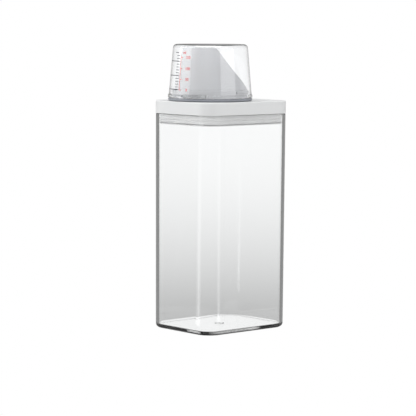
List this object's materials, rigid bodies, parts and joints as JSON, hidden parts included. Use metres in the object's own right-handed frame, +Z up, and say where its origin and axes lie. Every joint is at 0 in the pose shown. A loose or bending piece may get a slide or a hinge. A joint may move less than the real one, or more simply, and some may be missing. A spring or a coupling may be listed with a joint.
{
  "type": "detergent dispenser bottle",
  "caption": "Clear square-sided detergent container with a white lid, an off-centre pouring spout and a clear measuring cup worn upside down over the spout as its cap.",
  "frame": {"origin": "centre of the container's foot, on the surface it stands on", "axes": "+Z up, X along the long side of the lid, Y along the short side; the cup stands over the -X half"},
  "size_m": [0.105, 0.085, 0.265],
  "materials": {
    "clear_plastic": "clear injection-moulded plastic with polished 3 mm walls",
    "white_plastic": "satin-gloss white moulding",
    "white_liner_plastic": "white moulding",
    "lid_seal_silicone": "pale translucent silicone",
    "spout_plastic": "glossy white moulding",
    "spout_seal_silicone": "pale translucent silicone",
    "cup_seal_silicone": "clear bluish-grey silicone",
    "cup_plastic": "clear thin-walled plastic with a printed scale"
  },
  "bodies": {
    "root": {"container": "clear_plastic"},
    "lid": {"lid_cover": "white_plastic", "lid_plug": "white_liner_plastic", "lid_seal": "lid_seal_silicone", "pour_spout": "spout_plastic", "spout_seal": "spout_seal_silicone"},
    "seal_ring": {"cup_seal": "cup_seal_silicone"},
    "cup": {"measuring_cup": "cup_plastic"}
  },
  "joints": [
    {"name": "lid_lift", "type": "slide", "parent": "root", "child": "lid", "axis": [0, 0, 1], "range_m": [0, 0.06]},
    {"name": "cup_twist", "type": "hinge", "parent": "lid", "child": "seal_ring", "pos_m": [-0.0134, 0, 0.2128], "axis": [0, 0, 1], "range_deg": [-90, 0]},
    {"name": "cup_lift", "type": "slide", "parent": "seal_ring", "child": "cup", "axis": [0, 0, 1], "range_m": [0, 0.07]}
  ]
}
